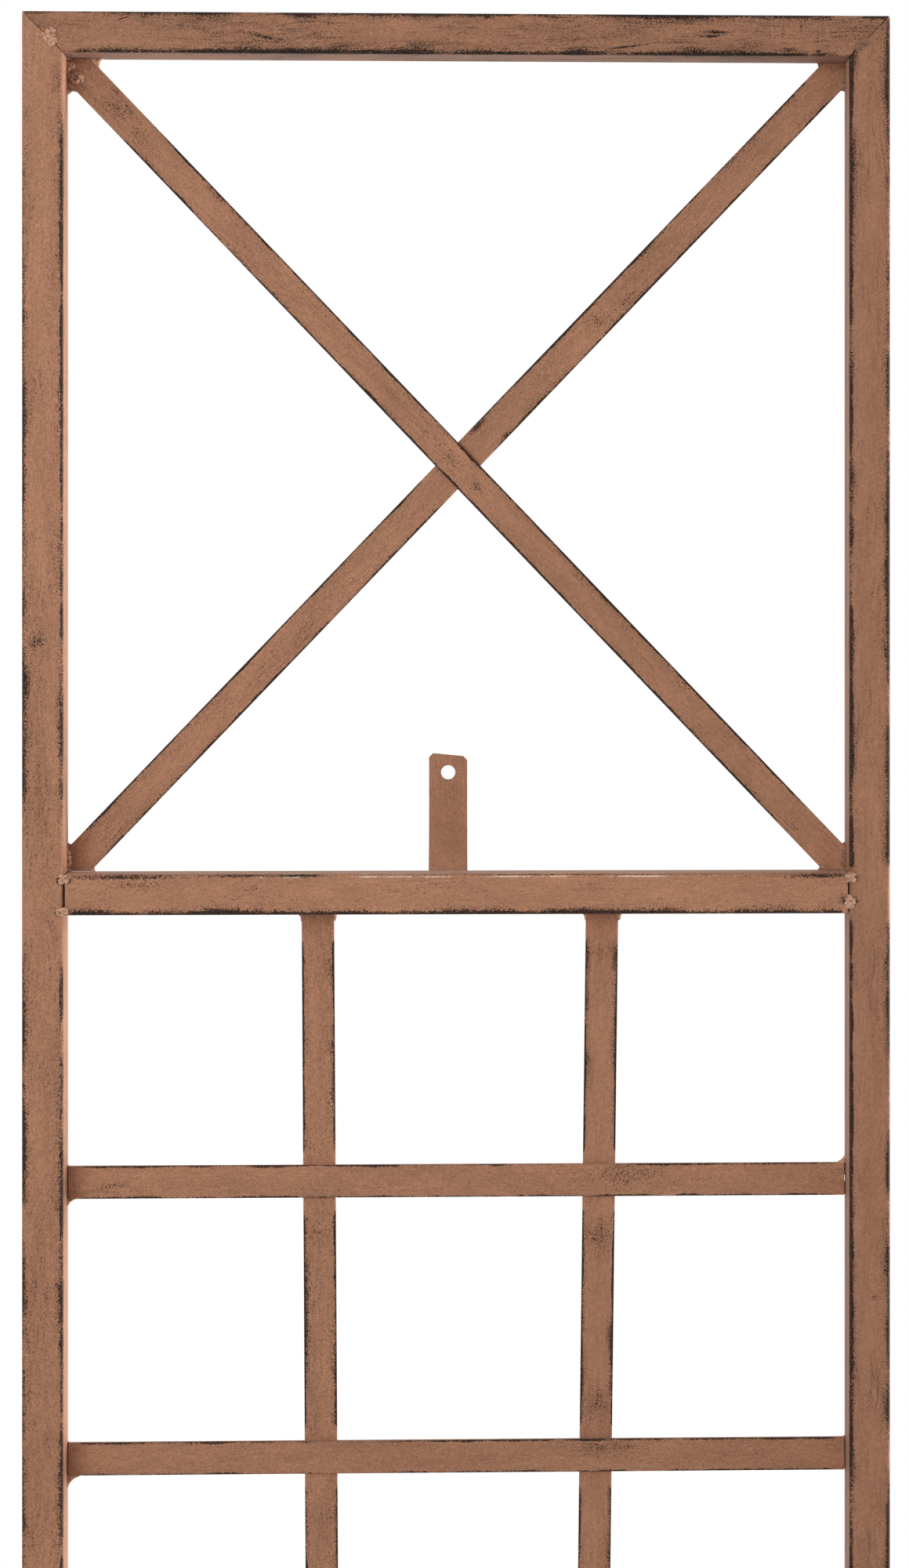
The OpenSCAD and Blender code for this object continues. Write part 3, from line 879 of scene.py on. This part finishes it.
FRONT_BRACE_MARKS = (
    Smudge(-311, 8.0, 6, 2.5, 0.42),
    Smudge(-304, 1.0, 12, 6, 0.31),
    Smudge(-296, 5.5, 10, 3.0, 0.36),
    Smudge(-280, 0.0, 14, 4, 0.27),
    Smudge(-10, 0.0, 25, 5, 0.26),
    Smudge(17, 0.0, 5, 5, 0.42),
)
REAR_BRACE_MARKS = (
    Smudge(26, 8.5, 9, 2, 0.65),
    Smudge(34, -8.5, 5, 2, 0.65),
    Smudge(78, 2.0, 16, 4, 0.26),
    Smudge(124, 0.0, 9, 7, 0.36),
    Smudge(128, 9.0, 8, 1.5, 0.6),
    Smudge(133, -9.5, 14, 1.6, 0.6),
    Smudge(146, -6.0, 7, 3, 0.4),
)
LATTICE_MARKS = {
    "left_grid_bar": (
        Smudge(-467, 8.5, 14, 4.5, 0.44),
        Smudge(-466, -9.5, 20, 2, 0.6),
        Smudge(-305, 0, 10, 22, 0.3),
    ),
    "right_grid_bar": (
        Smudge(-474, 9, 13, 4, 0.6),
        Smudge(-474, -9, 15, 3, 0.6),
        Smudge(-477, 0, 7, 24, 0.3),
        Smudge(-302, 0, 16, 15, 0.36),
        Smudge(-199, 2, 16, 16, 0.36),
    ),
    "rung_1": (
        Smudge(103, 4, 28, 10, 0.34),
        Smudge(-215, -3, 14, 3, 0.34, 0.2),
    ),
    "rung_2": (
        Smudge(90, 5, 30, 6, 0.34),
    ),
}

# Brightness of the rungs' paint, darkened as painted shade that stands for the light falling off towards the
# bottom, and of rung_1, which is darkened less
RUNG_TONE = 0.94
RUNG_TONES = {"rung_1": 0.98}
TAB_TONE = 0.89

# Seeds of the first bar that each step paints
TUBE_SEED, BRACE_SEED, LATTICE_SEED, TAB_SEED = 1, 11, 21, 31

# Drops of weld metal about a corner: a step from it, radii and perhaps the depth of a crater, in millimetres
TOP_LEFT_SPATTER = (
    ((17.9, -0.2, -13.6), (3.1, 1.5, 2.9), 0.5),
    ((13.4, -0.1, -14.3), (1.1, 0.9, 1.1)),
    ((15.6, -0.1, -16.4), (1.2, 0.8, 1.0)),
)
RAIL_LEFT_DROPS = (
    ((0.4, 0.3, -3.4), (4.0, 1.2, 1.8)),
    ((-1.6, 0.2, -22.8), (2.4, 1.2, 2.2)),
    ((1.4, 0.2, -21.8), (1.8, 1.1, 1.5)),
)
RAIL_RIGHT_DROPS = (
    ((0.9, 0.2, -1.6), (2.6, 1.3, 2.0)),
    ((1.8, 0.2, -4.4), (1.5, 1.2, 2.0)),
    ((-0.6, 0.2, -16.4), (2.6, 1.4, 2.6)),
    ((2.0, 0.2, -17.4), (1.8, 1.2, 1.6)),
)
CORNER_FILL = (
    ((0.0, 0.0, 0.0), (1.8, 1.0, 1.8)),
)
BRACE_BLOBS = (
    ((6.0, -0.3, -12.4), (4.8, 2.6, 3.5), 1.3),
    ((2.4, -0.4, -4.6), (2.2, 1.8, 2.4)),
    *CORNER_FILL,
)

# How far the flares at the tops of the upright bars reach to the left and to the right, in millimetres
LEFT_BAR_FLARES = (1.0, 2.8)
RIGHT_BAR_FLARES = (1.4, 3.8)
# Their wide and their long part: share of the reach, how far below the bar's top, and height
FLARE_PARTS = ((1.0, 0.4, 1.7), (0.45, 2.2, 3.6))
FLARE_DEPTH = 1.8


def drops_at(corner, shapes):
    """Drops of the given shapes about a corner."""
    return [Drop(corner + Vector(step) * MM, *shape) for step, *shape in shapes]


def bar_top_drops(node, flares):
    """Flares of the given reaches on both sides of the top of an upright bar, each a wide and a long drop."""
    low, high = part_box(node)
    edge = high.x if grid_lean(node) > 0 else low.x + BAR_W
    mid_y = (low.y + high.y) / 2
    drops = []
    for x, reach in zip((edge - BAR_W, edge), flares):
        for share, below, height in FLARE_PARTS:
            drops.append(Drop(Vector((x, mid_y, high.z - below * MM)), (share * reach, FLARE_DEPTH, height)))
    return drops


# Operators


class ESPALIER_OT_paint_tubes(bpy.types.Operator):
    """Paint the stiles and the rails"""

    bl_idname = "espalier.paint_tubes"
    bl_label = "Paint the tubes"

    def execute(self, context):
        tee = middle("middle_rail")
        bars = [
            tube("left_stile", UPRIGHT, line=(0.5, 1.0), fringe=(0.85, 0.7), streaks=0.6,
                 joints=along_bar("left_stile", UPRIGHT, [tee, TOP_LOW]), bare=12, grow=60,
                 smudges=LEFT_STILE_MARKS, pale=LEFT_STILE_PALE),
            # The right stile's tone of 0.91 is painted shade: it darkens the stile further from the key lamp
            # at the left
            tube("right_stile", UPRIGHT, line=(1.8, 0.5), fringe=(0.85, 0.9), streaks=0.6, tone=0.91,
                 joints=along_bar("right_stile", UPRIGHT, [tee]), bare=10, grow=14,
                 smudges=RIGHT_STILE_MARKS),
            tube("top_rail", LEVEL, line=(0.9, 0.75), fringe=(0.9, 0.85), streaks=1.2, tone=0.9,
                 joints=PANEL_ENDS, bare=2, grow=10, smudges=TOP_RAIL_MARKS),
            tube("middle_rail", LEVEL, line=(1.0, 0.12), fringe=(1.0, 0.15), streaks=0.38, tone=1.03,
                 joints=PANEL_ENDS, bare=1, grow=6, smudges=MIDDLE_RAIL_MARKS, pale=MIDDLE_RAIL_PALE),
            tube("bottom_rail", LEVEL, line=(0.9, 0.9), fringe=(0.8, 0.8), streaks=0.8,
                 joints=PANEL_ENDS, bare=2, grow=10),
        ]
        paint_bars(bars, context.scene.espalier_paint, TUBE_SEED)
        return {"FINISHED"}


class ESPALIER_OT_paint_braces(bpy.types.Operator):
    """Paint the two crossed bars of the upper panel"""

    bl_idname = "espalier.paint_braces"
    bl_label = "Paint the braces"

    def execute(self, context):
        end = math.hypot(PANEL_W, PANEL_H) / 2
        bars = [
            flat_bar("front_brace", BRACE_TURN, line=(1.8, 2.1), fringe=(0.5, 0.6), streaks=0.5, tone=0.97,
                     joints=(-end, end), bare=34, grow=50, smudges=FRONT_BRACE_MARKS),
            flat_bar("rear_brace", -BRACE_TURN, line=(2.0, 1.9), fringe=(0.5, 0.55), streaks=0.5, tone=0.97,
                     joints=(-end, 0.0, end), bare=16, grow=16, smudges=REAR_BRACE_MARKS),
        ]
        paint_bars(bars, context.scene.espalier_paint, BRACE_SEED)
        return {"FINISHED"}


class ESPALIER_OT_paint_lattice(bpy.types.Operator):
    """Paint the upright bars and the rungs"""

    bl_idname = "espalier.paint_lattice"
    bl_label = "Paint the lattice"

    def execute(self, context):
        bars = []
        for node in ("left_grid_bar", "right_grid_bar"):
            turn = UPRIGHT + grid_lean(node)
            end = span(node).z / 2
            crossings = along_bar(node, turn, [middle(rung) for rung in RUNGS])
            bars.append(flat_bar(
                node, turn, line=(1.6, 1.6), fringe=(0.8, 0.8), streaks=0.5,
                joints=crossings + (-end, end), bare=15, grow=8, smudges=LATTICE_MARKS[node]))
        # The rungs' tones are painted shade of the light falling off towards the bottom
        for node in RUNGS:
            bars.append(flat_bar(
                node, LEVEL, line=(1.05, 0.9), fringe=(0.15, 0.2), streaks=0.3,
                tone=RUNG_TONES.get(node, RUNG_TONE), joints=PANEL_ENDS, bare=3, grow=10,
                smudges=LATTICE_MARKS.get(node, ())))
        paint_bars(bars, context.scene.espalier_paint, LATTICE_SEED)
        return {"FINISHED"}


class ESPALIER_OT_paint_tab(bpy.types.Operator):
    """Paint the bent strap, which the rub missed"""

    bl_idname = "espalier.paint_tab"
    bl_label = "Paint the wall tab"

    def execute(self, context):
        size = span("wall_tab")
        bars = [Bar("wall_tab", UPRIGHT, size.x, size.y, BAR_RADIUS, tone=TAB_TONE)]
        paint_bars(bars, context.scene.espalier_paint, TAB_SEED)
        return {"FINISHED"}


class ESPALIER_OT_weld_corners(bpy.types.Operator):
    """Lay the beads over the four mitres"""

    bl_idname = "espalier.weld_corners"
    bl_label = "Weld the corners"

    def execute(self, context):
        top_left = Vector((LEFT_LOW.x, FRONT_Y, TOP_HIGH.z))
        spatter = drops_at(top_left, TOP_LEFT_SPATTER)
        lay_welds(context, {"top_left_corner_welds": spatter}, CORNER_LUMPS)
        lay_welds(context, {"top_right_corner_welds": []}, FLAT_TACK_LUMPS, even=True)
        lay_welds(context, {"bottom_left_corner_welds": [], "bottom_right_corner_welds": []}, CORNER_LUMPS)
        return {"FINISHED"}


class ESPALIER_OT_weld_middle_rail(bpy.types.Operator):
    """Lay the beads over the slits at the ends of the middle rail"""

    bl_idname = "espalier.weld_middle_rail"
    bl_label = "Weld the middle rail"

    def execute(self, context):
        left = Vector((LEFT_HIGH.x, FRONT_Y, MIDDLE_HIGH.z))
        right = Vector((RIGHT_LOW.x, FRONT_Y, MIDDLE_HIGH.z))
        lay_welds(context, {
            "middle_rail_left_welds": drops_at(left, RAIL_LEFT_DROPS),
            "middle_rail_right_welds": drops_at(right, RAIL_RIGHT_DROPS),
        }, RAIL_LUMPS)
        return {"FINISHED"}


class ESPALIER_OT_weld_braces(bpy.types.Operator):
    """Lay the fillets and beads at the braces' ends and crossing"""

    bl_idname = "espalier.weld_braces"
    bl_label = "Weld the braces"

    def execute(self, context):
        front_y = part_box("front_brace")[0].y
        rear_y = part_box("rear_brace")[0].y
        upper_left = Vector((LEFT_HIGH.x, front_y, TOP_LOW.z))
        lower_right = Vector((RIGHT_LOW.x, front_y, MIDDLE_HIGH.z))
        upper_right = Vector((RIGHT_LOW.x, rear_y, TOP_LOW.z))
        lower_left = Vector((LEFT_HIGH.x, rear_y, MIDDLE_HIGH.z))
        lay_welds(context, {"front_brace_upper_welds": drops_at(upper_left, BRACE_BLOBS)}, BRACE_LUMPS)
        # The beads at these braces' ends take the darker even paint as painted shade of the corners they sit
        # in
        lay_welds(context, {
            "front_brace_lower_welds": drops_at(lower_right, CORNER_FILL),
            "rear_brace_upper_welds": drops_at(upper_right, CORNER_FILL),
        }, BRACE_LUMPS, even=True)
        lay_welds(context, {
            "rear_brace_lower_welds": drops_at(lower_left, CORNER_FILL),
            "brace_crossing_welds": [],
        }, BRACE_LUMPS)
        return {"FINISHED"}


class ESPALIER_OT_weld_lattice(bpy.types.Operator):
    """Lay the fillets and beads of the upright bars and the rungs"""

    bl_idname = "espalier.weld_lattice"
    bl_label = "Weld the lattice"

    def execute(self, context):
        welds = {rung + "_welds": [] for rung in RUNGS}
        welds["lattice_crossing_welds"] = []
        welds["left_grid_bar_welds"] = bar_top_drops("left_grid_bar", LEFT_BAR_FLARES)
        welds["right_grid_bar_welds"] = bar_top_drops("right_grid_bar", RIGHT_BAR_FLARES)
        lay_welds(context, welds, LATTICE_LUMPS)
        return {"FINISHED"}


class ESPALIER_OT_weld_tab(bpy.types.Operator):
    """Lay the beads down both sides of the strap's foot"""

    bl_idname = "espalier.weld_tab"
    bl_label = "Weld the wall tab"

    def execute(self, context):
        lay_welds(context, {"wall_tab_welds": []}, TAB_LUMPS)
        return {"FINISHED"}


class ESPALIER_OT_stage(bpy.types.Operator):
    """Set the floor, the lamps, the white surround and the camera"""

    bl_idname = "espalier.stage"
    bl_label = "Set the stage"

    def execute(self, context):
        stage = context.scene.espalier_stage
        add_floor()
        set_surround(stage.ambient)
        add_lamp("key_lamp", KEY_AIM, KEY_STEP, stage.key, KEY_SIZE, KEY_SPREAD)
        add_lamp("side_lamp", AIM, SIDE_STEP, stage.side, SIDE_SIZE)
        add_lamp("fill_lamp", AIM, FILL_STEP, stage.fill, SIDE_SIZE)
        add_camera(stage.lens)
        context.scene.view_settings.view_transform = "Standard"
        return {"FINISHED"}


STEPS = (
    ESPALIER_OT_paint_tubes,
    ESPALIER_OT_paint_braces,
    ESPALIER_OT_paint_lattice,
    ESPALIER_OT_paint_tab,
    ESPALIER_OT_weld_corners,
    ESPALIER_OT_weld_middle_rail,
    ESPALIER_OT_weld_braces,
    ESPALIER_OT_weld_lattice,
    ESPALIER_OT_weld_tab,
    ESPALIER_OT_stage,
)
SETTINGS = {
    "espalier_paint": PaintSettings,
    "espalier_welds": WeldSettings,
    "espalier_stage": StageSettings,
}


class ESPALIER_PT_panel(bpy.types.Panel):
    """Lists the steps of the finish"""

    bl_idname = "ESPALIER_PT_panel"
    bl_label = "Espalier frame"
    bl_space_type = "VIEW_3D"
    bl_region_type = "UI"
    bl_category = "Espalier"

    def draw(self, context):
        for step in STEPS:
            self.layout.operator(step.bl_idname)
        for group in SETTINGS:
            settings = getattr(context.scene, group)
            for name in settings.__annotations__:
                self.layout.prop(settings, name)


def register():
    for name, settings in SETTINGS.items():
        bpy.utils.register_class(settings)
        setattr(bpy.types.Scene, name, PointerProperty(type=settings))
    for made in (*STEPS, ESPALIER_PT_panel):
        bpy.utils.register_class(made)


def unregister():
    for made in (*STEPS, ESPALIER_PT_panel):
        bpy.utils.unregister_class(made)
    for name, settings in SETTINGS.items():
        delattr(bpy.types.Scene, name)
        bpy.utils.unregister_class(settings)


def main():
    register()
    bpy.ops.espalier.paint_tubes()
    bpy.ops.espalier.paint_braces()
    bpy.ops.espalier.paint_lattice()
    bpy.ops.espalier.paint_tab()
    bpy.ops.espalier.weld_corners()
    bpy.ops.espalier.weld_middle_rail()
    bpy.ops.espalier.weld_braces()
    bpy.ops.espalier.weld_lattice()
    bpy.ops.espalier.weld_tab()
    bpy.ops.espalier.stage()


if __name__ == "__main__":
    main()
